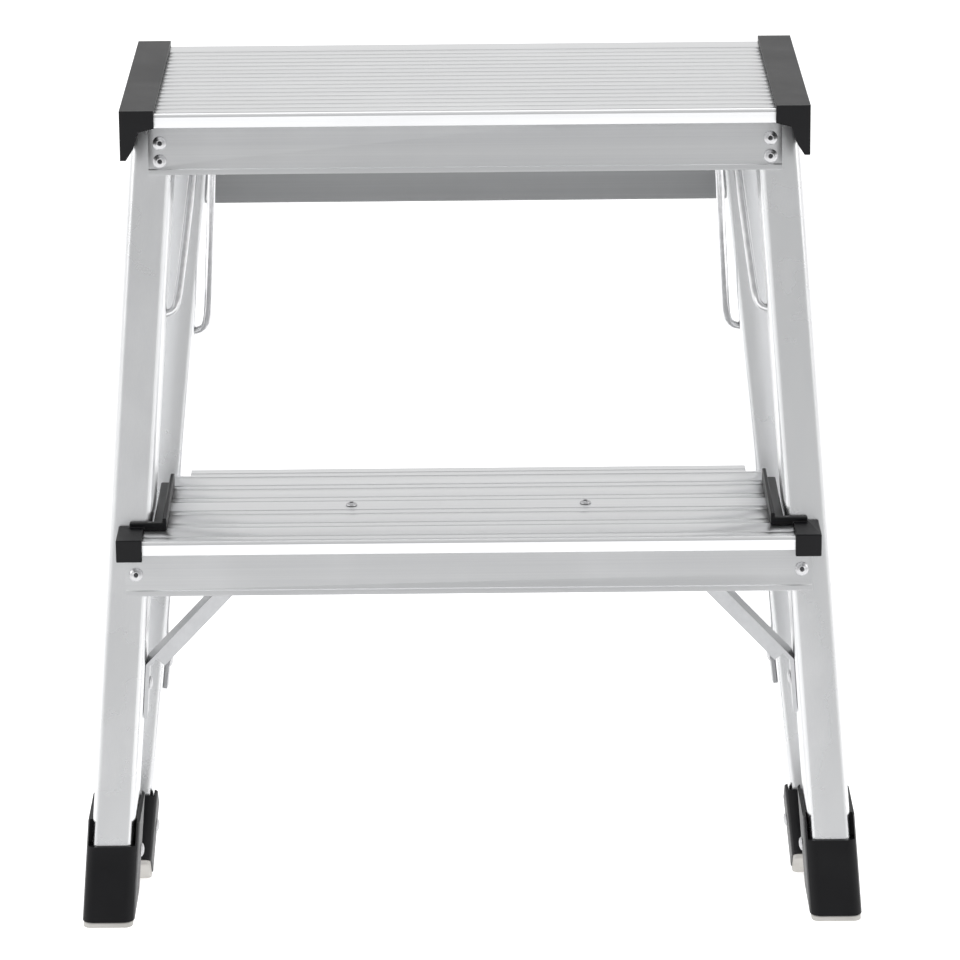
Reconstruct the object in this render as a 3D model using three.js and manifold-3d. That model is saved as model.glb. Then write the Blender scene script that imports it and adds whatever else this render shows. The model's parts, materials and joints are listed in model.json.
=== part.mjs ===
// Two-tread folding step stool in aluminium, built as a rigid front frame and a hinged rear frame.
// Millimetres, +Z up, +Y towards the back, origin under the middle of the folded stool, level with
// the heels of its rear shoes, which hang a little below the front ones when it is folded.
// The front frame is two box-section stiles, a grooved platform, a lower tread and two bent braces.
// The rear frame is two box-section legs with two cross bars, drawn swung in under the platform.
// Two wire rods a side tie the frames to the brackets under the platform.
import * as THREE from 'three';
import { mergeVertices } from 'three/addons/utils/BufferGeometryUtils.js';
import Module from 'manifold-3d';

const wasm = await Module();
wasm.setup();

// Driving dimensions
const TOP_Z = 505;              // top of the platform's end caps
const DECK_Z = 502;             // walking surface of the platform
const DECK_DEPTH = 200;
const DECK_HALF = 195.4;
const CAP_OUTER = 210.5;
const CAP_WALL = 3.2;
const TREAD_Z = 243.5;          // walking surface of the lower tread
const TREAD_FRONT = -45;
const TREAD_REAR = 108;
const TREAD_HALF = 213;         // in front of the stiles
const TREAD_HALF_INSIDE = 190;  // between the stiles
const SHEET = 2.4;              // wall of the extruded treads
const GAP = 0.3;                // running gap between pieces that touch

const STILE_INNER = 214.1;      // at the floor
const STILE_WIDTH = 26.5;
const STILE_FRONT = -70;        // at the floor
const STILE_DEPTH = 56.4;
const STILE_SPLAY = 0.0715;     // sideways run per unit of height
const STILE_LEAN = 0.2245;      // backward run per unit of height
const STILE_WALL = 1.8;
const STILE_RADIUS = 5;

const HINGE_Y = 176;
const HINGE_Z = 464;
const LEG_INNER = 161.5;        // at the hinge
const LEG_WIDTH = 25;
const LEG_DEPTH = 36;
const LEG_SPLAY = 0.1;
const LEG_WALL = 1.7;
const LEG_FOLDED = THREE.MathUtils.degToRad(13.5);
const LEG_OPEN = THREE.MathUtils.degToRad(19.6);
const LEG_LENGTH = 492;        // hinge to sole along the leg
const PIN_RADIUS = 4;

const SHOE_WALL = 3;
const SHOE_HEIGHT = 50;
const SHOE_EAR = 64;
const REAR_SHOE_HEIGHT = 45;
const REAR_SHOE_EAR = 49;
const SOLE = 3.4;

const ROD_RADIUS = 2.9;
const LOCK_ROD_DROP = 141;      // rod pivot below the hinge, along the leg
const SLOT_Z = 452;
const SLOT_FRONT = 106;
const LOCK_RATIO = -0.8;        // turn of the rod in its leg for each turn of the leg
const BRACKET_INNER = 152.5;
const BRACKET_SHEET = 2.5;

const RIVET_HEAD = 4.3;
const RIVET_SHANK = 2.2;
const CENTRE_Y = 64.9;          // middle of the stool's depth, moved to the origin
const REST_DROP = 26.1;           // the folded rear heels hang this far below the front soles

const stileFront = (z) => STILE_FRONT + STILE_LEAN * z;
const stileInner = (z) => STILE_INNER - STILE_SPLAY * z;
const legInner = (z) => LEG_INNER - LEG_SPLAY * z;

// Materials
const finish = (color, roughness, metalness) => ({ color, roughness, metalness });
const ALUMINIUM = finish(0xd8dadc, 0.35, 0.9);
const DARK_PLASTIC = finish(0x1a1b1d, 0.5, 0);
const STEEL = finish(0xc6c8ca, 0.25, 1);
const SOLE_RUBBER = finish(0xc9c6c0, 0.8, 0);
const NYLON = finish(0xe6e4df, 0.6, 0);

// Shapes drawn on a plane and drawn out along an axis
const shapeOf = (points) => new THREE.Shape(points.map(([a, b]) => new THREE.Vector2(a, b)));

function roundedRectangle(x0, y0, x1, y1, r) {
  const s = new THREE.Shape();
  s.absarc(x1 - r, y1 - r, r, 0, Math.PI / 2, false);
  s.absarc(x0 + r, y1 - r, r, Math.PI / 2, Math.PI, false);
  s.absarc(x0 + r, y0 + r, r, Math.PI, 1.5 * Math.PI, false);
  s.absarc(x1 - r, y0 + r, r, 1.5 * Math.PI, 2 * Math.PI, false);
  return s;
}

function drawnOut(shape, length, matrix) {
  const g = new THREE.ExtrudeGeometry(shape, { depth: length, bevelEnabled: false, curveSegments: 3 });
  return g.applyMatrix4(matrix);
}
const alongX = (shape, x0, x1) =>
  drawnOut(shape, x1 - x0, new THREE.Matrix4().set(0, 0, 1, x0, 1, 0, 0, 0, 0, 1, 0, 0, 0, 0, 0, 1));
const alongY = (shape, y0, y1) =>
  drawnOut(shape, y1 - y0, new THREE.Matrix4().set(1, 0, 0, 0, 0, 0, -1, y1, 0, 1, 0, 0, 0, 0, 0, 1));
const alongZ = (shape, z0, z1) =>
  drawnOut(shape, z1 - z0, new THREE.Matrix4().makeTranslation(0, 0, z0));

function block(x0, x1, y0, y1, z0, z1) {
  const g = new THREE.BoxGeometry(x1 - x0, y1 - y0, z1 - z0);
  return g.translate((x0 + x1) / 2, (y0 + y1) / 2, (z0 + z1) / 2);
}

// x and y run sideways with height, so that ends stay level
const sheared = (g, perZx, perZy) => g.applyMatrix4(new THREE.Matrix4().makeShear(0, 0, 0, 0, perZx, perZy));

// Joining and cutting
function toSolid(geometry) {
  const bare = geometry.clone();
  bare.deleteAttribute('normal');
  bare.deleteAttribute('uv');
  const merged = mergeVertices(bare, 1e-4);
  const vertProperties = new Float32Array(merged.attributes.position.array);
  const triVerts = new Uint32Array(merged.index.array);
  return new wasm.Manifold(new wasm.Mesh({ numProp: 3, vertProperties, triVerts }));
}

function toGeometry(solid) {
  const mesh = solid.getMesh();
  const g = new THREE.BufferGeometry();
  g.setAttribute('position', new THREE.BufferAttribute(new Float32Array(mesh.vertProperties), 3));
  g.setIndex(new THREE.BufferAttribute(new Uint32Array(mesh.triVerts), 1));
  g.computeVertexNormals();
  return g;
}

const joined = (...parts) => toGeometry(parts.map(toSolid).reduce((a, b) => a.add(b)));
const cut = (body, ...tools) => toGeometry(tools.map(toSolid).reduce((a, b) => a.subtract(b), toSolid(body)));

function mirrored(geometry) {
  const g = geometry.clone().scale(-1, 1, 1);
  const source = g.index ? g : mergeVertices(g);
  const index = source.index.array;
  for (let i = 0; i < index.length; i += 3) {
    [index[i + 1], index[i + 2]] = [index[i + 2], index[i + 1]];
  }
  source.computeVertexNormals();
  return source;
}

// A round hole or pin through `at` along `direction`
function roundBar(radius, length, at, direction, sides = 16) {
  const g = new THREE.CylinderGeometry(radius, radius, length, sides);
  const turn = new THREE.Quaternion().setFromUnitVectors(new THREE.Vector3(0, 1, 0), direction);
  return g.applyQuaternion(turn).translate(at.x, at.y, at.z);
}

// A domed rivet: its head stands on `at`, its shank runs back against `direction`
function rivet(at, direction, shankLength, head = RIVET_HEAD) {
  const rise = head * 0.42;
  const profile = [new THREE.Vector2(0, -shankLength), new THREE.Vector2(RIVET_SHANK, -shankLength)];
  profile.push(new THREE.Vector2(RIVET_SHANK, GAP), new THREE.Vector2(head, GAP));
  for (let i = 1; i <= 2; i += 1) {
    const a = (i / 3) * (Math.PI / 2);
    profile.push(new THREE.Vector2(head * Math.cos(a), GAP + rise * Math.sin(a)));
  }
  profile.push(new THREE.Vector2(0, GAP + rise));
  const g = new THREE.LatheGeometry(profile, 10);
  const turn = new THREE.Quaternion().setFromUnitVectors(new THREE.Vector3(0, 1, 0), direction);
  return g.applyQuaternion(turn).translate(at.x, at.y, at.z);
}
const RIVET_HOLE = RIVET_SHANK + GAP;

// A bent round wire through the given points
function wire(points) {
  const path = new THREE.CatmullRomCurve3(points, false, 'centripetal');
  const section = new THREE.Shape();
  section.absarc(0, 0, ROD_RADIUS, 0, 2 * Math.PI, false);
  return new THREE.ExtrudeGeometry(section, { steps: 26, curveSegments: 4, extrudePath: path });
}

// A bent flat bar: a polyline in (x, z) thickened to one side, `width` wide in y
function bentBar(line, thickness, y0, width) {
  const normals = line.slice(1).map((p, i) => {
    const q = line[i];
    const length = Math.hypot(p[0] - q[0], p[1] - q[1]);
    return [-(p[1] - q[1]) / length, (p[0] - q[0]) / length];
  });
  const offset = line.map((p, i) => {
    const a = normals[Math.max(i - 1, 0)];
    const b = normals[Math.min(i, normals.length - 1)];
    const s = thickness / (1 + a[0] * b[0] + a[1] * b[1]);
    return [p[0] + (a[0] + b[0]) * s, p[1] + (a[1] + b[1]) * s];
  });
  return alongY(shapeOf([...line, ...offset.reverse()]), y0, y0 + width);
}

const stool = new THREE.Group();
const frontFrame = new THREE.Group();
const rearFrame = new THREE.Group();
frontFrame.position.set(0, -CENTRE_Y, REST_DROP);
rearFrame.position.set(0, HINGE_Y - CENTRE_Y, HINGE_Z + REST_DROP);
rearFrame.rotation.set(-LEG_FOLDED, 0, 0);
stool.add(frontFrame, rearFrame);

function place(group, name, geometry, look) {
  const mesh = new THREE.Mesh(geometry, new THREE.MeshStandardMaterial(look));
  mesh.name = name;
  group.add(mesh);
}

// Pieces are drawn for the right-hand side, and mirrored for the left
function pair(group, name, geometry, look) {
  place(group, `${name}_right`, geometry, look);
  place(group, `${name}_left`, mirrored(geometry), look);
}

const at = (x, y, z) => new THREE.Vector3(x, y, z);
const inward = at(-1, 0, 0);
const upward = at(0, 0, 1);
const outOfStile = at(0, -1, STILE_LEAN).normalize();
const besideStile = at(-1, 0, -STILE_SPLAY).normalize();
const besideLeg = at(-1, 0, -LEG_SPLAY).normalize();

// Treads: an extruded sheet with a grooved top, a turned-down nose, a front skirt that lies
// against the leaning stiles, and a short lip at the back
function treadProfile(front, rear, top, grooves, skirtBottom, rearLip) {
  const nose = 8.5;
  const groove = 0.8;
  const skirtFace = (z) => stileFront(z) - GAP - SHEET;
  const points = [[front, top - nose], [front, top - 2], [front + 0.7, top - 0.7], [front + 2, top]];
  for (const y of grooves) {
    points.push([y - groove, top], [y - groove * 0.6, top - 1], [y + groove * 0.6, top - 1], [y + groove, top]);
  }
  points.push([rear, top], [rear, top - rearLip], [rear - SHEET, top - rearLip], [rear - SHEET, top - SHEET]);
  const backFace = (z) => skirtFace(z) + SHEET;
  points.push([backFace(top - SHEET), top - SHEET], [backFace(skirtBottom), skirtBottom]);
  points.push([skirtFace(skirtBottom) - 0.6, skirtBottom], [skirtFace(skirtBottom + 3) - 0.6, skirtBottom + 3]);
  points.push([skirtFace(skirtBottom + 3.5), skirtBottom + 3.5]);
  points.push([skirtFace(top - SHEET), top - SHEET], [front + SHEET, top - SHEET], [front + SHEET, top - nose]);
  return shapeOf(points.reverse());
}

const DECK_GROOVES = Array.from({ length: 17 }, (_, i) => 6.5 + i * 10.85);
const TREAD_GROOVES = Array.from({ length: 6 }, (_, i) => -42 + i * 26.7).flatMap((y) => [y, y + 8.2]);
const DECK_SKIRT_BOTTOM = TOP_Z - 47.5;
const TREAD_SKIRT_BOTTOM = 203;

const deckRivets = [TOP_Z - 28.5, TOP_Z - 39.4].map((z) => at(188.3, stileFront(z) - GAP - SHEET, z));
const TREAD_RIVET_Z = 216;
const treadRivet = at(206.5, stileFront(TREAD_RIVET_Z) - GAP - SHEET, TREAD_RIVET_Z);
const braceTop = at(73.5, 29.5, TREAD_Z);
const drill = (p, direction, length = 14) => roundBar(RIVET_HOLE, length, p, direction);
const bothSides = (g) => [g, mirrored(g)];

const deck = cut(
  alongX(treadProfile(2, DECK_DEPTH - 2, DECK_Z, DECK_GROOVES, DECK_SKIRT_BOTTOM, 14), -DECK_HALF, DECK_HALF),
  ...deckRivets.flatMap((p) => bothSides(drill(p, outOfStile))),
);
place(frontFrame, 'platform_deck', deck, ALUMINIUM);

const stileClearance = alongX(
  shapeOf([[stileFront(190) - GAP, 190], [150, 190], [150, 260], [stileFront(260) - GAP, 260]]),
  TREAD_HALF_INSIDE, TREAD_HALF + 10,
);
const legClearance = block(178, TREAD_HALF + 10, 95, 120, 190, 260);
const tread = cut(
  alongX(
    treadProfile(TREAD_FRONT, TREAD_REAR, TREAD_Z, TREAD_GROOVES, TREAD_SKIRT_BOTTOM, 17),
    -TREAD_HALF, TREAD_HALF,
  ),
  ...bothSides(stileClearance),
  ...bothSides(legClearance),
  ...bothSides(drill(treadRivet, outOfStile)),
  ...bothSides(drill(braceTop, upward)),
);
place(frontFrame, 'lower_tread', tread, ALUMINIUM);

// Stiles: rounded box section, leaning back and splayed, both ends level
const FRONT_TAB_Z = 138;
const frontTabRivet = at(stileInner(FRONT_TAB_Z), -3, FRONT_TAB_Z);
const SHOE_RIVET_Z = 33;
const frontShoeRivet = at(stileInner(SHOE_RIVET_Z), stileFront(SHOE_RIVET_Z) + STILE_DEPTH * 0.72, SHOE_RIVET_Z);
const STAY_FOOT_Z = 362;
const STAY_FOOT = at(stileInner(STAY_FOOT_Z), 56, STAY_FOOT_Z);
const stileSection = roundedRectangle(
  STILE_INNER, STILE_FRONT, STILE_INNER + STILE_WIDTH, STILE_FRONT + STILE_DEPTH, STILE_RADIUS,
);
stileSection.holes.push(roundedRectangle(
  STILE_INNER + STILE_WALL, STILE_FRONT + STILE_WALL,
  STILE_INNER + STILE_WIDTH - STILE_WALL, STILE_FRONT + STILE_DEPTH - STILE_WALL, STILE_RADIUS - STILE_WALL,
));
const stile = cut(
  sheared(alongZ(stileSection, SOLE + SHOE_WALL + 2 * GAP, DECK_Z - SHEET - 0.6), -STILE_SPLAY, STILE_LEAN),
  ...deckRivets.map((p) => drill(p, outOfStile)),
  drill(treadRivet, outOfStile),
  drill(frontTabRivet, besideStile),
  drill(frontShoeRivet, besideStile),
  roundBar(ROD_RADIUS + 2 * GAP, 14, STAY_FOOT, inward),
);
pair(frontFrame, 'front_stile', stile, ALUMINIUM);

// Shoes: a moulded plastic boot with a level floor, higher side ears and a separate sole pad
function shoe([x0, y0, x1, y1, radius], height, ear) {
  const outer = alongZ(roundedRectangle(x0 - SHOE_WALL, y0 - SHOE_WALL, x1 + SHOE_WALL, y1 + SHOE_WALL,
    radius + 2), SOLE + GAP, ear);
  const inner = alongZ(roundedRectangle(x0 - GAP, y0 - GAP, x1 + GAP, y1 + GAP, radius),
    SOLE + GAP + SHOE_WALL, ear + 5);
  const dip = (x1 - x0) / 2 + 1;
  const frontDip = block(x0 - 1, x0 + 2 * dip, y0 - 10, y0 + 7, height, ear + 5);
  const backDip = block(x0 - 1, x0 + 2 * dip, y1 - 7, y1 + 10, height, ear + 5);
  return cut(outer, inner, frontDip, backDip);
}
function solePad(x0, y0, x1, y1, radius) {
  const grow = SHOE_WALL - 0.8;
  return alongZ(roundedRectangle(x0 - grow, y0 - grow, x1 + grow, y1 + grow, radius), 0, SOLE);
}
const stileBox = [STILE_INNER, STILE_FRONT, STILE_INNER + STILE_WIDTH, STILE_FRONT + STILE_DEPTH, STILE_RADIUS];
const frontShoe = cut(
  sheared(shoe(stileBox, SHOE_HEIGHT, SHOE_EAR), -STILE_SPLAY, STILE_LEAN),
  drill(frontShoeRivet, besideStile, 20),
);
pair(frontFrame, 'front_shoe', frontShoe, DARK_PLASTIC);
pair(frontFrame, 'front_sole', sheared(solePad(...stileBox), -STILE_SPLAY, STILE_LEAN), SOLE_RUBBER);

// Platform end caps: a mould that closes the deck's end and stands a little above it
const capFront = alongY(shapeOf([
  [189.5, TOP_Z - 11], [199, TOP_Z - 13.5], [202.5, TOP_Z - 24], [207, TOP_Z - 31],
  [CAP_OUTER, TOP_Z - 31], [CAP_OUTER, TOP_Z], [189.5, TOP_Z],
]), -2, 1.6);
const platformCap = joined(
  block(189.5, CAP_OUTER, -2, DECK_DEPTH + 2, DECK_Z + GAP, TOP_Z),
  alongX(shapeOf([[-2, TOP_Z - 31], [170, TOP_Z - 31], [DECK_DEPTH + 2, TOP_Z - 20],
    [DECK_DEPTH + 2, TOP_Z], [-2, TOP_Z]]), CAP_OUTER - CAP_WALL, CAP_OUTER),
  capFront,
  block(189.5, CAP_OUTER, DECK_DEPTH - 1.6, DECK_DEPTH + 2, TOP_Z - 20, TOP_Z),
);
pair(frontFrame, 'platform_cap', platformCap, DARK_PLASTIC);

// Lower tread caps: a boot over the nose end and a raised collar round the stile's inner corner
const COLLAR_TOP = TREAD_Z + 8;
const noseBack = stileFront(TREAD_Z) - 1.4;
const capFloor = TREAD_Z + GAP;
const collarInside = 187;
const collarRear = 75;
const treadCap = joined(
  block(201, TREAD_HALF + 4, TREAD_FRONT - 3, noseBack, capFloor, TREAD_Z + 2.2),
  block(201, TREAD_HALF + 4, TREAD_FRONT - 3, TREAD_FRONT - GAP, TREAD_Z - 12, TREAD_Z + 2.2),
  block(TREAD_HALF + GAP, TREAD_HALF + 4, TREAD_FRONT - 3, noseBack - 7, TREAD_Z - 12, TREAD_Z + 2.2),
  block(collarInside, 210, noseBack - 5, noseBack, capFloor, TREAD_Z + 5),
  block(collarInside, 195.7, noseBack - 5, collarRear, capFloor, TREAD_Z + 2.2),
  block(collarInside, collarInside + 2.6, noseBack - 5, collarRear, capFloor, COLLAR_TOP),
);
pair(frontFrame, 'tread_cap', treadCap, DARK_PLASTIC);

// Front braces: a bent bar with a turned edge, from the stile up to the tread's underside
const BAR = 2.4;
const BRACE_WIDTH = 20;
const braceFoot = stileInner(FRONT_TAB_Z) - GAP - BAR;
const lineFront = [
  [stileInner(118) - GAP - BAR, 118], [stileInner(152) - GAP - BAR, 152],
  [113, TREAD_Z - SHEET - GAP - BAR], [60, TREAD_Z - SHEET - GAP - BAR],
];
const braceY = frontTabRivet.y - BRACE_WIDTH / 2;
const braceSkew = (braceTop.y - frontTabRivet.y) / (braceTop.x - braceFoot);
function brace(line, y0, edgeFrom, edgeTo) {
  const bar = bentBar([...line].reverse(), BAR, y0, BRACE_WIDTH);
  const rise = (edgeTo[1] - edgeFrom[1]) / Math.hypot(edgeTo[0] - edgeFrom[0], edgeTo[1] - edgeFrom[1]);
  const edge = alongY(shapeOf([
    [edgeFrom[0], edgeFrom[1]], [edgeTo[0], edgeTo[1]],
    [edgeTo[0] - 7 * rise, edgeTo[1] - 7 * rise], [edgeFrom[0] - 7 * rise, edgeFrom[1] - 7 * rise],
  ].reverse()), y0, y0 + 2.2);
  return joined(bar, edge);
}
const frontBraceStraight = brace(lineFront, 0, [196, 156.5], [122, 229.5]);
const skewed = (g, perX, atX, y) => g.applyMatrix4(new THREE.Matrix4().makeShear(perX, 0, 0, 0, 0, 0))
  .translate(0, y - perX * atX, 0);
const frontBrace = cut(
  skewed(frontBraceStraight, braceSkew, braceFoot, braceY),
  drill(frontTabRivet, besideStile),
  drill(at(braceTop.x, braceTop.y, TREAD_Z - SHEET), upward),
);
pair(frontFrame, 'front_brace', frontBrace, ALUMINIUM);

// Brackets under the platform: a folded steel plate that carries the hinge pin, the wire stay
// and the slot in which the lock rod's end slides
const CHEEK = 190;
const webRight = BRACKET_INNER + BRACKET_SHEET;
const ceiling = DECK_Z - SHEET - GAP;
const web = alongX(shapeOf([
  [84, ceiling], [84, 458], [98, 443], [112, 437.5], [186, 437.5], [192, 450], [192, ceiling],
].reverse()), BRACKET_INNER, webRight);
const cheek = alongX(shapeOf([
  [160, ceiling], [160, 456], [168, 450], [186, 450], [192, 456], [192, ceiling],
].reverse()), CHEEK, CHEEK + BRACKET_SHEET);

// The slot follows the rod's end as the leg swings and the rod turns in it
function rodEndAt(share) {
  const swing = share * (LEG_FOLDED + LEG_OPEN);
  const pivotAt = (angle) => [HINGE_Y + LOCK_ROD_DROP * Math.sin(angle), HINGE_Z - LOCK_ROD_DROP * Math.cos(angle)];
  const [foldedY, foldedZ] = pivotAt(-LEG_FOLDED);
  const [y, z] = pivotAt(swing - LEG_FOLDED);
  const turn = swing * (1 + LOCK_RATIO);
  const reach = [SLOT_FRONT - foldedY, SLOT_Z - foldedZ];
  return [
    y + reach[0] * Math.cos(turn) - reach[1] * Math.sin(turn),
    z + reach[0] * Math.sin(turn) + reach[1] * Math.cos(turn),
  ];
}
function slotCutter() {
  const half = ROD_RADIUS + 0.8;
  const path = Array.from({ length: 9 }, (_, i) => rodEndAt(i / 8));
  path.unshift([path[0][0] - half, path[0][1]]);
  path.push([path[9][0] + half, path[9][1]]);
  const upper = path.map(([y, z]) => [y, z + half]);
  const lower = path.map(([y, z]) => [y, z - half]);
  return alongX(shapeOf([...lower, ...upper.reverse()]), 150, 158);
}
const hingeBracket = cut(
  joined(web, cheek, block(BRACKET_INNER, CHEEK + BRACKET_SHEET, 160, 192, ceiling - BRACKET_SHEET, ceiling),
    block(BRACKET_INNER, 172, 84, 192, ceiling - BRACKET_SHEET, ceiling)),
  slotCutter(),
  roundBar(PIN_RADIUS + GAP, 60, at(172, HINGE_Y, HINGE_Z), inward, 20),
  roundBar(ROD_RADIUS + GAP, 20, at(154, 90, 472), inward),
);
pair(frontFrame, 'hinge_bracket', hingeBracket, STEEL);

function hingePin() {
  const from = BRACKET_INNER - 0.6;
  const to = CHEEK + BRACKET_SHEET + 0.6;
  return joined(
    roundBar(PIN_RADIUS, to - from, at((from + to) / 2, HINGE_Y, HINGE_Z), inward, 20),
    roundBar(7, 2, at(from - 0.9, HINGE_Y, HINGE_Z), inward, 20),
    roundBar(7, 2, at(to + 0.9, HINGE_Y, HINGE_Z), inward, 20),
  );
}
pair(frontFrame, 'hinge_pin', hingePin(), STEEL);

// A nylon washer keeps each leg clear of its bracket
const hingeWasher = cut(
  roundBar(9, 3.6, at(webRight + GAP + 1.8, HINGE_Y, HINGE_Z), inward, 20),
  roundBar(PIN_RADIUS + GAP, 10, at(webRight, HINGE_Y, HINGE_Z), inward, 20),
);
pair(frontFrame, 'hinge_washer', hingeWasher, NYLON);

// Wire stays from the front stiles up to the brackets
const stay = wire([
  at(STAY_FOOT.x + 7, 56, STAY_FOOT_Z), at(STAY_FOOT.x - 2, 56, STAY_FOOT_Z),
  at(STAY_FOOT.x - 5.4, 56.8, STAY_FOOT_Z + 2.5), at(STAY_FOOT.x - 7.5, 59, STAY_FOOT_Z + 10),
  at(169.5, 84, 456), at(167, 88.5, 468), at(161, 90, 472), at(150, 90, 472),
]);
pair(frontFrame, 'platform_stay', stay, STEEL);

// Rear frame, drawn about its hinge with the legs upright; its group leans it forward
const legHole = at(legInner(-LOCK_ROD_DROP), 0, -LOCK_ROD_DROP);
const REAR_TAB_Z = -354;
const rearTabRivet = at(legInner(REAR_TAB_Z), 0, REAR_TAB_Z);
const rearShoeRivet = at(legInner(-LEG_LENGTH + 30), 3, -LEG_LENGTH + 30);
const legSection = roundedRectangle(LEG_INNER, -LEG_DEPTH / 2, LEG_INNER + LEG_WIDTH, LEG_DEPTH / 2, 4);
legSection.holes.push(roundedRectangle(
  LEG_INNER + LEG_WALL, -LEG_DEPTH / 2 + LEG_WALL,
  LEG_INNER + LEG_WIDTH - LEG_WALL, LEG_DEPTH / 2 - LEG_WALL, 4 - LEG_WALL,
));
const legBottom = -LEG_LENGTH + SOLE + SHOE_WALL + 8;
const leg = cut(
  sheared(alongZ(legSection, legBottom, 16), -LEG_SPLAY, 0),
  roundBar(PIN_RADIUS + GAP, 60, at(172, 0, 0), inward, 20),
  roundBar(ROD_RADIUS + 2 * GAP, 12, legHole, inward),
  drill(rearTabRivet, besideLeg),
  drill(rearShoeRivet, besideLeg),
);
pair(rearFrame, 'rear_leg', leg, ALUMINIUM);

// Its shoes are cut level for the open stool, so their floors slope across the leg
const soleSlope = -Math.tan(LEG_OPEN);
const sloped = (g) => g.applyMatrix4(new THREE.Matrix4().makeShear(0, 0, 0, soleSlope, 0, 0));
const legBox = [legInner(-LEG_LENGTH), -LEG_DEPTH / 2, legInner(-LEG_LENGTH) + LEG_WIDTH, LEG_DEPTH / 2, 4];
const toLeg = (g) => sheared(sloped(g), -LEG_SPLAY, 0).translate(0, 0, -LEG_LENGTH);
pair(rearFrame, 'rear_shoe', cut(toLeg(shoe(legBox, REAR_SHOE_HEIGHT, REAR_SHOE_EAR)),
  drill(rearShoeRivet, besideLeg, 20)), DARK_PLASTIC);
pair(rearFrame, 'rear_sole', toLeg(solePad(...legBox)), SOLE_RUBBER);

// Cross bars: channels that fit between the legs
function crossBar(zTop, zBottom, y0, y1) {
  const edge = (z) => legInner(z) - 0.5;
  const outside = alongY(shapeOf([
    [-edge(zBottom), zBottom], [edge(zBottom), zBottom], [edge(zTop), zTop], [-edge(zTop), zTop],
  ]), y0, y1);
  const wide = edge(zBottom) + 5;
  return cut(outside, block(-wide, wide, y0 + 2, y1 + 1, zBottom + 2, zTop - 2));
}
const UPPER_BAR = [-29, -59];
const LOWER_BAR = [-240, -277];
place(rearFrame, 'upper_cross_bar', crossBar(...UPPER_BAR, 3, 17.5), ALUMINIUM);
place(rearFrame, 'lower_cross_bar', crossBar(...LOWER_BAR, -3, 16), ALUMINIUM);

const barFloor = LOWER_BAR[1] - GAP;
const lineRear = [
  [legInner(-372) - GAP - BAR, -372], [legInner(-340) - GAP - BAR, -340], [139, barFloor - BAR], [104, barFloor - BAR],
];
const rearBrace = cut(brace(lineRear, -8, [189, -334.5], [146, -288]), drill(rearTabRivet, besideLeg));
pair(rearFrame, 'rear_brace', rearBrace, ALUMINIUM);

// Lock rods turn in the rear legs, and their upper ends slide in the bracket slots
const slotEnd = at(0, SLOT_FRONT - HINGE_Y, SLOT_Z - HINGE_Z).applyAxisAngle(at(1, 0, 0), LEG_FOLDED);
const rodTop = (x, share) => at(x, slotEnd.y * share, -LOCK_ROD_DROP + (slotEnd.z + LOCK_ROD_DROP) * share);
const lockRod = wire([
  at(legHole.x + 7, 0, -LOCK_ROD_DROP), at(legHole.x - 3, 0, -LOCK_ROD_DROP),
  rodTop(legHole.x - 7.3, 0.03), rodTop(legHole.x - 8.8, 0.1), rodTop(160, 0.93),
  rodTop(158.6, 0.985), rodTop(156, 1), rodTop(149.5, 1),
]);
pair(rearFrame, 'lock_rod', lockRod, STEEL);

// Rivets
deckRivets.forEach((p, i) => pair(frontFrame, `platform_rivet_${i + 1}`, rivet(p, outOfStile, 5.5), STEEL));
pair(frontFrame, 'tread_rivet', rivet(treadRivet, outOfStile, 5.5), STEEL);
pair(frontFrame, 'brace_top_rivet', rivet(braceTop, upward, 6.4, 3.6), STEEL);
pair(frontFrame, 'brace_tab_rivet', rivet(at(braceFoot, frontTabRivet.y, FRONT_TAB_Z), besideStile, 5.5), STEEL);
pair(frontFrame, 'front_shoe_rivet',
  rivet(at(frontShoeRivet.x - SHOE_WALL, frontShoeRivet.y, frontShoeRivet.z), besideStile, 5.5), STEEL);
pair(rearFrame, 'rear_tab_rivet',
  rivet(at(rearTabRivet.x - GAP - BAR, rearTabRivet.y, rearTabRivet.z), besideLeg, 5.5), STEEL);
pair(rearFrame, 'rear_shoe_rivet',
  rivet(at(rearShoeRivet.x - SHOE_WALL, rearShoeRivet.y, rearShoeRivet.z), besideLeg, 5.5), STEEL);

export default stool;
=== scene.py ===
import json
import math

import bmesh
import bpy
from mathutils import Matrix, Vector


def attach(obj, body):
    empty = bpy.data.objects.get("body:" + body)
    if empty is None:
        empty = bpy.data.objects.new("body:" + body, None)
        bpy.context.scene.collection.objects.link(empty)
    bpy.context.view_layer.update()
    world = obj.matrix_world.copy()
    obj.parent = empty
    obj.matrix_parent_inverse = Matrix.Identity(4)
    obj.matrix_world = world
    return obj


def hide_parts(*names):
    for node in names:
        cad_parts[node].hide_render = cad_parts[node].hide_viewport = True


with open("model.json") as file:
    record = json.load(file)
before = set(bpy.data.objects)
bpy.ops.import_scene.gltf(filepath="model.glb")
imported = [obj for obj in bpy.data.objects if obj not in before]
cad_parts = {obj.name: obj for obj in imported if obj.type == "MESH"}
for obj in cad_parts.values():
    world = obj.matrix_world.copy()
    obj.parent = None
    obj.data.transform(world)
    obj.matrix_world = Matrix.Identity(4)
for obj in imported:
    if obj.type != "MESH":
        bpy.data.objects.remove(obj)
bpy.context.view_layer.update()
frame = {"nodes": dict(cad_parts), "record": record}

# ---------------------------------------------------------------------------------------------
# Studio: a white sweep under the stool, an even white tent around it, and a long lens that
# looks down on the platform from the climbing side.
# ---------------------------------------------------------------------------------------------
scene = bpy.context.scene
scene.view_settings.view_transform = "Standard"
scene.view_settings.look = "None"


def new_material(name):
    material = bpy.data.materials.new(name)
    material.use_nodes = True
    nodes = material.node_tree.nodes
    return material, nodes, material.node_tree.links, nodes["Principled BSDF"]


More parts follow.
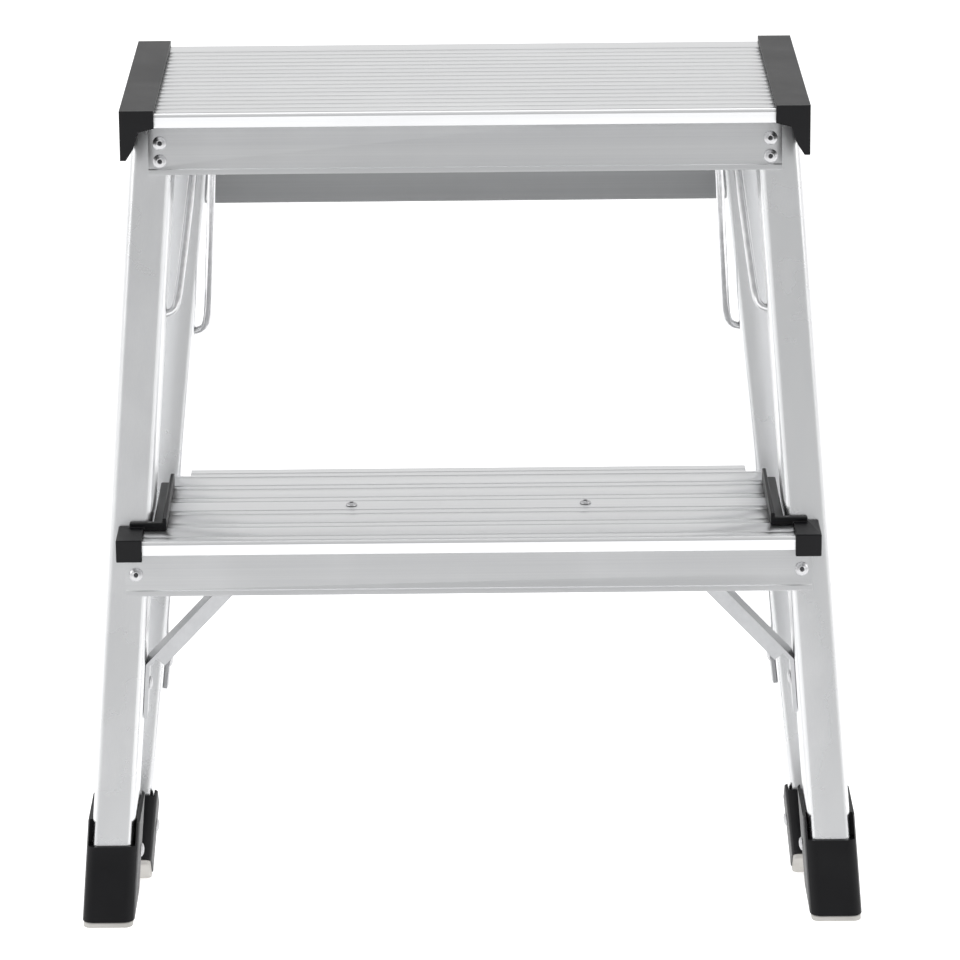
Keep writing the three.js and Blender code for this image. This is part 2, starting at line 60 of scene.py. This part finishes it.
paper, nodes, links, surface = new_material("white_paper")
mottle = nodes.new("ShaderNodeTexNoise")
mottle.inputs["Scale"].default_value = 3.0
tint = nodes.new("ShaderNodeValToRGB")
tint.color_ramp.elements[0].color = (0.93, 0.93, 0.935, 1)
tint.color_ramp.elements[1].color = (0.96, 0.96, 0.96, 1)
links.new(mottle.outputs["Fac"], tint.inputs["Fac"])
links.new(tint.outputs["Color"], surface.inputs["Base Color"])
surface.inputs["Roughness"].default_value = 0.9
surface.inputs["Specular IOR Level"].default_value = 0.0
surface.inputs["Emission Color"].default_value = (1, 1, 1, 1)
surface.inputs["Emission Strength"].default_value = 0.52

FLOOR_SIZE = 60
bpy.ops.mesh.primitive_plane_add(size=FLOOR_SIZE, location=(0, 0, 0))
floor = bpy.context.object
floor.name = "floor"
floor.data.materials.append(paper)

world = bpy.data.worlds.new("tent")
scene.world = world
world.use_nodes = True
sky = world.node_tree
where = sky.nodes.new("ShaderNodeTexCoord")
split = sky.nodes.new("ShaderNodeSeparateXYZ")
depth_ramp = sky.nodes.new("ShaderNodeValToRGB")
depth_map = sky.nodes.new("ShaderNodeMapRange")
depth_map.inputs["From Min"].default_value = -1.0
depth_map.inputs["From Max"].default_value = 1.0
depth_ramp.color_ramp.elements[0].position = 0.06
depth_ramp.color_ramp.elements[0].color = (0.70, 0.705, 0.71, 1)
depth_ramp.color_ramp.elements[1].position = 0.55
depth_ramp.color_ramp.elements[1].color = (1.12, 1.12, 1.12, 1)
sky.links.new(where.outputs["Generated"], split.inputs[0])
sky.links.new(split.outputs["Y"], depth_map.inputs["Value"])
sky.links.new(depth_map.outputs["Result"], depth_ramp.inputs["Fac"])
sky.links.new(depth_ramp.outputs["Color"], sky.nodes["Background"].inputs["Color"])
sky.nodes["Background"].inputs["Strength"].default_value = 0.74


def soft_light(name, place, aim, size, power):
    data = bpy.data.lights.new(name, "AREA")
    data.size = size
    data.energy = power
    lamp = bpy.data.objects.new(name, data)
    lamp.location = place
    lamp.rotation_euler = (Vector(aim) - Vector(place)).to_track_quat("-Z", "Y").to_euler()
    scene.collection.objects.link(lamp)


STOOL_MIDDLE = (0, 0, 0.3)
SIDE_BOX_POWER = 14
TOP_BOX_POWER = 8
soft_light("left_softbox", (-2.4, -1.0, 1.6), STOOL_MIDDLE, 1.4, SIDE_BOX_POWER)
soft_light("right_softbox", (2.4, -1.0, 1.6), STOOL_MIDDLE, 1.4, SIDE_BOX_POWER)
soft_light("top_softbox", (0, 0.9, 2.6), STOOL_MIDDLE, 1.6, TOP_BOX_POWER)

CAMERA_PLACE = (0.002, -3.110, 1.224)
CAMERA_TURN = -0.1       # degrees
CAMERA_DOWN = 16.98
CAMERA_ROLL = -0.5
SENSOR_WIDTH = 36
FOCAL_LENGTH = 192.0
lens = bpy.data.cameras.new("camera")
lens.sensor_width = SENSOR_WIDTH
lens.lens = FOCAL_LENGTH
camera = bpy.data.objects.new("camera", lens)
camera.matrix_world = (
    Matrix.Translation(CAMERA_PLACE)
    @ Matrix.Rotation(math.radians(CAMERA_TURN), 4, "Z")
    @ Matrix.Rotation(math.radians(90 - CAMERA_DOWN), 4, "X")
    @ Matrix.Rotation(math.radians(CAMERA_ROLL), 4, "Z")
)
scene.collection.objects.link(camera)
scene.camera = camera

# ---------------------------------------------------------------------------------------------
# Platform deck: one aluminium extrusion, grooved along its length for grip, with a turned-down
# nose and a front skirt. It is sawn to length, satin anodised and riveted to the stiles.
# ---------------------------------------------------------------------------------------------
BODIES = frame["record"]["behaviour"]["bodies"]
BODY_OF = {node: body for body, members in BODIES.items() for node in members}
FLAT_WITHIN = math.radians(1.5)     # facets this close to flat become one face
BEVEL_ABOVE = math.radians(36)
SHARP_ABOVE = math.radians(38)
SAWN_EDGE = 0.00022


def eased_copy(node, edge, segments=2):
    """The node's own shape with its sharp edges eased, standing for the node."""
    mesh = frame["nodes"][node].data.copy()
    shape = bmesh.new()
    shape.from_mesh(mesh)
    bmesh.ops.remove_doubles(shape, verts=shape.verts, dist=0.00001)
    bmesh.ops.dissolve_limit(
        shape, angle_limit=FLAT_WITHIN, verts=shape.verts, edges=shape.edges, delimit={"NORMAL"}
    )
    shape.to_mesh(mesh)
    shape.free()
    mesh.materials.clear()
    piece = bpy.data.objects.new(node + "_piece", mesh)
    scene.collection.objects.link(piece)
    if edge:
        ease = piece.modifiers.new("eased_edges", "BEVEL")
        ease.width = edge
        ease.segments = segments
        ease.limit_method = "ANGLE"
        ease.angle_limit = BEVEL_ABOVE
    for face in mesh.polygons:
        face.use_smooth = True
    mesh.set_sharp_from_angle(angle=SHARP_ABOVE)
    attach(piece, BODY_OF[node])
    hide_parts(node)
    return piece


def shader_group(name, inputs, outputs):
    group = bpy.data.node_groups.new(name, "ShaderNodeTree")
    for label, kind, value in inputs:
        socket = group.interface.new_socket(label, in_out="INPUT", socket_type=kind)
        socket.default_value = value
    for label, kind in outputs:
        group.interface.new_socket(label, in_out="OUTPUT", socket_type=kind)
    return group, group.nodes.new("NodeGroupInput"), group.nodes.new("NodeGroupOutput")


# Fine die lines drawn along one direction of an extrusion
die_lines, given, result = shader_group(
    "die_lines",
    [("Stretch", "NodeSocketVector", (4, 900, 900)), ("Depth", "NodeSocketFloat", 1.0)],
    [("Tone", "NodeSocketFloat"), ("Height", "NodeSocketFloat")],
)
place = die_lines.nodes.new("ShaderNodeTexCoord")
stretch = die_lines.nodes.new("ShaderNodeVectorMath")
stretch.operation = "MULTIPLY"
lines = die_lines.nodes.new("ShaderNodeTexNoise")
lines.inputs["Scale"].default_value = 1.0
lines.inputs["Detail"].default_value = 3.0
bands = die_lines.nodes.new("ShaderNodeTexNoise")
bands.inputs["Scale"].default_value = 0.12
bands.inputs["Detail"].default_value = 1.0
both = die_lines.nodes.new("ShaderNodeMath")
both.operation = "ADD"
half = die_lines.nodes.new("ShaderNodeMath")
half.operation = "MULTIPLY"
half.inputs[1].default_value = 0.5
deep = die_lines.nodes.new("ShaderNodeMath")
deep.operation = "MULTIPLY"
die_lines.links.new(place.outputs["Object"], stretch.inputs[0])
die_lines.links.new(given.outputs["Stretch"], stretch.inputs[1])
die_lines.links.new(stretch.outputs[0], lines.inputs["Vector"])
die_lines.links.new(stretch.outputs[0], bands.inputs["Vector"])
die_lines.links.new(lines.outputs["Fac"], both.inputs[0])
die_lines.links.new(bands.outputs["Fac"], both.inputs[1])
die_lines.links.new(both.outputs[0], half.inputs[0])
die_lines.links.new(half.outputs[0], result.inputs["Tone"])
die_lines.links.new(half.outputs[0], deep.inputs[0])
die_lines.links.new(given.outputs["Depth"], deep.inputs[1])
die_lines.links.new(deep.outputs[0], result.inputs["Height"])

# Light handling marks: soft smears that dull a bare surface in places
smears, given, result = shader_group(
    "handling_smears",
    [("Size", "NodeSocketFloat", 9.0), ("Cover", "NodeSocketFloat", 0.5)],
    [("Mask", "NodeSocketFloat")],
)
place = smears.nodes.new("ShaderNodeTexCoord")
cloud = smears.nodes.new("ShaderNodeTexNoise")
cloud.inputs["Detail"].default_value = 5.0
cloud.inputs["Roughness"].default_value = 0.62
step = smears.nodes.new("ShaderNodeMapRange")
step.inputs["From Max"].default_value = 0.78
smears.links.new(place.outputs["Object"], cloud.inputs["Vector"])
smears.links.new(given.outputs["Size"], cloud.inputs["Scale"])
smears.links.new(given.outputs["Cover"], step.inputs["From Min"])
smears.links.new(cloud.outputs["Fac"], step.inputs["Value"])
smears.links.new(step.outputs["Result"], result.inputs["Mask"])


def aluminium(name, stretch, pale, dark, roughness, depth=0.25):
    """Satin anodised extrusion: drawn lines in colour, gloss and relief, and faint smears."""
    material, nodes, links, surface = new_material(name)
    drawn = nodes.new("ShaderNodeGroup")
    drawn.node_tree = die_lines
    drawn.inputs["Stretch"].default_value = stretch
    drawn.inputs["Depth"].default_value = depth
    marks = nodes.new("ShaderNodeGroup")
    marks.node_tree = smears
    tone = nodes.new("ShaderNodeValToRGB")
    tone.color_ramp.elements[0].position = 0.3
    tone.color_ramp.elements[0].color = (*dark, 1)
    tone.color_ramp.elements[1].position = 0.7
    tone.color_ramp.elements[1].color = (*pale, 1)
    dull = nodes.new("ShaderNodeMapRange")
    dull.inputs["To Min"].default_value = roughness
    dull.inputs["To Max"].default_value = roughness + 0.1
    relief = nodes.new("ShaderNodeBump")
    relief.inputs["Strength"].default_value = 0.12
    relief.inputs["Distance"].default_value = 0.0002
    links.new(drawn.outputs["Tone"], tone.inputs["Fac"])
    links.new(tone.outputs["Color"], surface.inputs["Base Color"])
    links.new(marks.outputs["Mask"], dull.inputs["Value"])
    links.new(dull.outputs["Result"], surface.inputs["Roughness"])
    links.new(drawn.outputs["Height"], relief.inputs["Height"])
    links.new(relief.outputs["Normal"], surface.inputs["Normal"])
    surface.inputs["Metallic"].default_value = 1.0
    return material


across = aluminium("anodised_across", (5, 1100, 1100), (0.84, 0.845, 0.85), (0.77, 0.775, 0.785), 0.30)
deck = eased_copy("platform_deck", SAWN_EDGE)
deck.data.materials.append(across)

# ---------------------------------------------------------------------------------------------
# Platform end caps: black moulded plastic, pushed over the sawn ends of the deck. Each has a
# flat top rim, a hanging side flange and a fine moulded grain.
# ---------------------------------------------------------------------------------------------
moulded_grain, given, result = shader_group(
    "moulded_grain",
    [("Grain", "NodeSocketFloat", 2600.0)],
    [("Tone", "NodeSocketFloat"), ("Height", "NodeSocketFloat")],
)
place = moulded_grain.nodes.new("ShaderNodeTexCoord")
pits = moulded_grain.nodes.new("ShaderNodeTexVoronoi")
flow = moulded_grain.nodes.new("ShaderNodeTexNoise")
flow.inputs["Scale"].default_value = 35.0
flow.inputs["Detail"].default_value = 4.0
moulded_grain.links.new(place.outputs["Object"], pits.inputs["Vector"])
moulded_grain.links.new(given.outputs["Grain"], pits.inputs["Scale"])
moulded_grain.links.new(place.outputs["Object"], flow.inputs["Vector"])
moulded_grain.links.new(flow.outputs["Fac"], result.inputs["Tone"])
moulded_grain.links.new(pits.outputs["Distance"], result.inputs["Height"])


def moulded(name, dark, pale, roughness, grain=2600.0, relief_strength=0.25):
    """Injection-moulded plastic or rubber with a fine etched grain and faint flow tone."""
    material, nodes, links, surface = new_material(name)
    etched = nodes.new("ShaderNodeGroup")
    etched.node_tree = moulded_grain
    etched.inputs["Grain"].default_value = grain
    tone = nodes.new("ShaderNodeValToRGB")
    tone.color_ramp.elements[0].position = 0.3
    tone.color_ramp.elements[0].color = (*dark, 1)
    tone.color_ramp.elements[1].position = 0.75
    tone.color_ramp.elements[1].color = (*pale, 1)
    gloss = nodes.new("ShaderNodeMapRange")
    gloss.inputs["To Min"].default_value = roughness - 0.05
    gloss.inputs["To Max"].default_value = roughness + 0.08
    relief = nodes.new("ShaderNodeBump")
    relief.inputs["Strength"].default_value = relief_strength
    relief.inputs["Distance"].default_value = 0.0001
    links.new(etched.outputs["Tone"], tone.inputs["Fac"])
    links.new(etched.outputs["Tone"], gloss.inputs["Value"])
    links.new(tone.outputs["Color"], surface.inputs["Base Color"])
    links.new(gloss.outputs["Result"], surface.inputs["Roughness"])
    links.new(etched.outputs["Height"], relief.inputs["Height"])
    links.new(relief.outputs["Normal"], surface.inputs["Normal"])
    surface.inputs["Specular IOR Level"].default_value = 0.2
    return material


black_plastic = moulded("black_moulding", (0.003, 0.003, 0.004), (0.006, 0.006, 0.007), 0.36)
MOULDED_EDGE = 0.0008
for side in ("left", "right"):
    cap = eased_copy(f"platform_cap_{side}", MOULDED_EDGE, 3)
    cap.data.materials.append(black_plastic)

# ---------------------------------------------------------------------------------------------
# Front stiles: rounded box-section aluminium, leaning back and splayed, drawn lines running
# up their length. Their heads sit under the deck and their feet in moulded shoes.
# ---------------------------------------------------------------------------------------------
upright = aluminium("anodised_upright", (1100, 1100, 6), (0.84, 0.845, 0.85), (0.80, 0.805, 0.815), 0.27)
TUBE_EDGE = 0.0003
for side in ("left", "right"):
    stile = eased_copy(f"front_stile_{side}", TUBE_EDGE)
    stile.data.materials.append(upright)

# ---------------------------------------------------------------------------------------------
# Lower tread: the same kind of extrusion as the deck, with paired grooves. It is notched to
# pass between the stiles, and its skirt is riveted across their faces.
# ---------------------------------------------------------------------------------------------
tread = eased_copy("lower_tread", SAWN_EDGE)
tread.data.materials.append(across)

# ---------------------------------------------------------------------------------------------
# Lower tread caps: black mouldings that cover the nose ends and run back along each stile as
# a collar with a raised lip.
# ---------------------------------------------------------------------------------------------
COLLAR_EDGE = 0.0007
for side in ("left", "right"):
    cap = eased_copy(f"tread_cap_{side}", COLLAR_EDGE, 3)
    cap.data.materials.append(black_plastic)

# ---------------------------------------------------------------------------------------------
# Braces: flat aluminium bar with one turned edge, bent to a tab at each end. Front ones hold
# the tread, rear ones hold the lower cross bar.
# ---------------------------------------------------------------------------------------------
pressed = aluminium("pressed_bar", (260, 900, 260), (0.50, 0.505, 0.515), (0.44, 0.445, 0.455), 0.36, 0.5)
BENT_EDGE = 0.0005
for name in ("front_brace_left", "front_brace_right", "rear_brace_left", "rear_brace_right"):
    bar = eased_copy(name, BENT_EDGE)
    bar.data.materials.append(pressed)

# ---------------------------------------------------------------------------------------------
# Shoes: black moulded boots on the feet of the stiles and legs, with taller side ears for the
# rivet. A pale non-slip pad is pressed into the floor of each.
# ---------------------------------------------------------------------------------------------
pale_rubber = moulded("pale_sole", (0.50, 0.485, 0.46), (0.60, 0.585, 0.56), 0.75, 1400.0, 0.5)
PAD_EDGE = 0.0006
for end in ("front", "rear"):
    for side in ("left", "right"):
        boot = eased_copy(f"{end}_shoe_{side}", MOULDED_EDGE, 3)
        boot.data.materials.append(black_plastic)
        pad = eased_copy(f"{end}_sole_{side}", PAD_EDGE)
        pad.data.materials.append(pale_rubber)

# ---------------------------------------------------------------------------------------------
# Rear frame: two lighter box-section legs with two channel cross bars between them, hung on
# the hinge pins under the platform.
# ---------------------------------------------------------------------------------------------
for name in ("rear_leg_left", "rear_leg_right"):
    leg = eased_copy(name, TUBE_EDGE)
    leg.data.materials.append(upright)
# The cross bars' metal is darkened to about half the deck's tone as painted shade from the platform over
# them.
painted_shade_bar = aluminium("cross_bar", (5, 1100, 1100), (0.42, 0.425, 0.43), (0.37, 0.375, 0.38), 0.34)
for name in ("upper_cross_bar", "lower_cross_bar"):
    bar = eased_copy(name, BENT_EDGE)
    bar.data.materials.append(painted_shade_bar)

# ---------------------------------------------------------------------------------------------
# Hinge brackets, pins and washers: folded zinc-plated plate riveted under the deck, a headed
# steel pin through each leg, and a nylon washer that keeps the leg clear of the plate.
# ---------------------------------------------------------------------------------------------
plating_bloom, given, result = shader_group(
    "plating_bloom",
    [("Size", "NodeSocketFloat", 240.0)],
    [("Tone", "NodeSocketFloat")],
)
place = plating_bloom.nodes.new("ShaderNodeTexCoord")
crystals = plating_bloom.nodes.new("ShaderNodeTexNoise")
crystals.inputs["Detail"].default_value = 6.0
plating_bloom.links.new(place.outputs["Object"], crystals.inputs["Vector"])
plating_bloom.links.new(given.outputs["Size"], crystals.inputs["Scale"])
plating_bloom.links.new(crystals.outputs["Fac"], result.inputs["Tone"])


def plated(name, colour, roughness):
    """Zinc-plated or bare steel with a faint crystalline bloom."""
    material, nodes, links, surface = new_material(name)
    bloom = nodes.new("ShaderNodeGroup")
    bloom.node_tree = plating_bloom
    tone = nodes.new("ShaderNodeValToRGB")
    tone.color_ramp.elements[0].position = 0.3
    tone.color_ramp.elements[0].color = (*[c * 0.86 for c in colour], 1)
    tone.color_ramp.elements[1].position = 0.72
    tone.color_ramp.elements[1].color = (*colour, 1)
    gloss = nodes.new("ShaderNodeMapRange")
    gloss.inputs["To Min"].default_value = roughness
    gloss.inputs["To Max"].default_value = roughness + 0.14
    relief = nodes.new("ShaderNodeBump")
    relief.inputs["Strength"].default_value = 0.08
    relief.inputs["Distance"].default_value = 0.0002
    links.new(bloom.outputs["Tone"], tone.inputs["Fac"])
    links.new(tone.outputs["Color"], surface.inputs["Base Color"])
    links.new(bloom.outputs["Tone"], gloss.inputs["Value"])
    links.new(gloss.outputs["Result"], surface.inputs["Roughness"])
    links.new(bloom.outputs["Tone"], relief.inputs["Height"])
    links.new(relief.outputs["Normal"], surface.inputs["Normal"])
    surface.inputs["Metallic"].default_value = 1.0
    return material


zinc = plated("zinc_plate", (0.62, 0.63, 0.64), 0.28)
natural_nylon = moulded("natural_nylon", (0.70, 0.69, 0.65), (0.78, 0.77, 0.73), 0.5, 1800.0, 0.15)
PLATE_EDGE = 0.0004
PIN_EDGE = 0.0005
WASHER_EDGE = 0.0003
for side in ("left", "right"):
    plate = eased_copy(f"hinge_bracket_{side}", PLATE_EDGE)
    plate.data.materials.append(zinc)
    pin = eased_copy(f"hinge_pin_{side}", PIN_EDGE)
    pin.data.materials.append(zinc)
    washer = eased_copy(f"hinge_washer_{side}", WASHER_EDGE)
    washer.data.materials.append(natural_nylon)

# ---------------------------------------------------------------------------------------------
# Wire stays and lock rods: bright steel wire, cut and bent. Each hooks into a stile or a leg
# at its foot, and into the bracket at its head.
# ---------------------------------------------------------------------------------------------
CUT_END_ABOVE = math.radians(70)
bright_wire = plated("bright_wire", (0.80, 0.80, 0.81), 0.16)
for name in ("platform_stay_left", "platform_stay_right", "lock_rod_left", "lock_rod_right"):
    rod = eased_copy(name, 0)
    rod.data.set_sharp_from_angle(angle=CUT_END_ABOVE)
    smooth = rod.modifiers.new("round_wire", "SUBSURF")
    smooth.levels = 1
    smooth.render_levels = 1
    rod.data.materials.append(bright_wire)

# ---------------------------------------------------------------------------------------------
# Rivets: steel blind rivets with a domed flange, pulled up from one side. On those seen from the
# front the broken stem sits in a hole in the middle, coloured near-black as painted shade of the
# hole, and the others are plain domes.
# ---------------------------------------------------------------------------------------------
RIVET_TURNS = 32
DOME_RISE = 0.42         # of the flange's radius
SHANK_WIDTH = 0.5
STEM_HOLE = 0.36
DOME_STEP = math.radians(12)
RIM_SHARP_ABOVE = math.radians(50)
rivet_steel = plated("rivet_steel", (0.66, 0.66, 0.67), 0.3)
# The stem is real, but its near-black steel colour is painted shade of the hole it sits in.
stem_painted_shade = plated("rivet_stem_painted_shade", (0.10, 0.10, 0.105), 0.5)


def blind_rivet(node, facing, stemmed=True):
    """A domed flange turned about the rivet's own axis, over the node's shank."""
    facing = Vector(facing).normalized()
    points = [v.co for v in frame["nodes"][node].data.vertices]
    crown = max(points, key=lambda p: p.dot(facing))
    high = crown.dot(facing)
    low = min(p.dot(facing) for p in points)
    centre = sum(points, Vector()) / len(points)
    axis_point = centre - facing * centre.dot(facing)
    radius = max((p - facing * p.dot(facing) - axis_point).length for p in points)
    rise = radius * DOME_RISE
    hole = radius * STEM_HOLE
    shank = radius * SHANK_WIDTH
    profile = [(0, low - high), (shank, low - high), (shank, -rise), (radius, -rise)]
    profile += [
        (radius * math.cos(a), -rise + rise * math.sin(a))
        for a in (DOME_STEP * step for step in range(1, 6))
    ]
    if stemmed:
        profile += [(hole * 1.15, -0.02 * rise), (hole, -0.12 * rise), (hole, -0.62 * rise)]
        profile += [(hole * 0.8, -0.66 * rise), (hole * 0.72, -0.36 * rise), (0, -0.3 * rise)]
    else:
        profile += [(hole, -0.04 * rise), (0, 0)]
    shape = bmesh.new()
    rings = []
    for r, h in profile:
        if r == 0:
            rings.append([shape.verts.new((0, 0, h))])
            continue
        turns = [2 * math.pi * i / RIVET_TURNS for i in range(RIVET_TURNS)]
        rings.append([shape.verts.new((r * math.cos(t), r * math.sin(t), h)) for t in turns])
    # Faces from here on are the stem down in the hole, given the near-black material as painted shade.
    painted_shade_from = len(profile) - 3 if stemmed else len(profile)
    for n, (a, b) in enumerate(zip(rings, rings[1:])):
        for i in range(RIVET_TURNS):
            j = (i + 1) % RIVET_TURNS
            corners = [a[i % len(a)], a[j % len(a)], b[j % len(b)], b[i % len(b)]]
            face = shape.faces.new(list(dict.fromkeys(corners)))
            face.material_index = 1 if n >= painted_shade_from else 0
            face.smooth = True
    bmesh.ops.recalc_face_normals(shape, faces=shape.faces)
    turn = facing.to_track_quat("Z", "Y").to_matrix().to_4x4()
    shape.transform(Matrix.Translation(axis_point + facing * high) @ turn)
    mesh = bpy.data.meshes.new(node + "_piece")
    shape.to_mesh(mesh)
    shape.free()
    mesh.set_sharp_from_angle(angle=RIM_SHARP_ABOVE)
    mesh.materials.append(rivet_steel)
    mesh.materials.append(stem_painted_shade)
    piece = bpy.data.objects.new(node + "_piece", mesh)
    scene.collection.objects.link(piece)
    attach(piece, BODY_OF[node])
    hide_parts(node)


STILE_LEAN = 0.2245      # backward run of a stile for each unit of height
STILE_SPLAY = 0.0715     # sideways run of a stile for each unit of height
LEG_SPLAY = 0.1          # sideways run of a leg along its length
LEG_FOLDED = math.radians(13.5)
leg_face = Matrix.Rotation(-LEG_FOLDED, 3, "X") @ Vector((-1, 0, -LEG_SPLAY))
for side, hand in (("right", 1), ("left", -1)):
    for name in ("platform_rivet_1", "platform_rivet_2", "tread_rivet"):
        blind_rivet(f"{name}_{side}", (0, -1, STILE_LEAN))
    blind_rivet(f"brace_top_rivet_{side}", (0, 0, 1))
    for name in ("brace_tab_rivet", "front_shoe_rivet"):
        blind_rivet(f"{name}_{side}", (-hand, 0, -STILE_SPLAY), stemmed=False)
    for name in ("rear_tab_rivet", "rear_shoe_rivet"):
        blind_rivet(f"{name}_{side}", (leg_face.x * hand, leg_face.y, leg_face.z), stemmed=False)
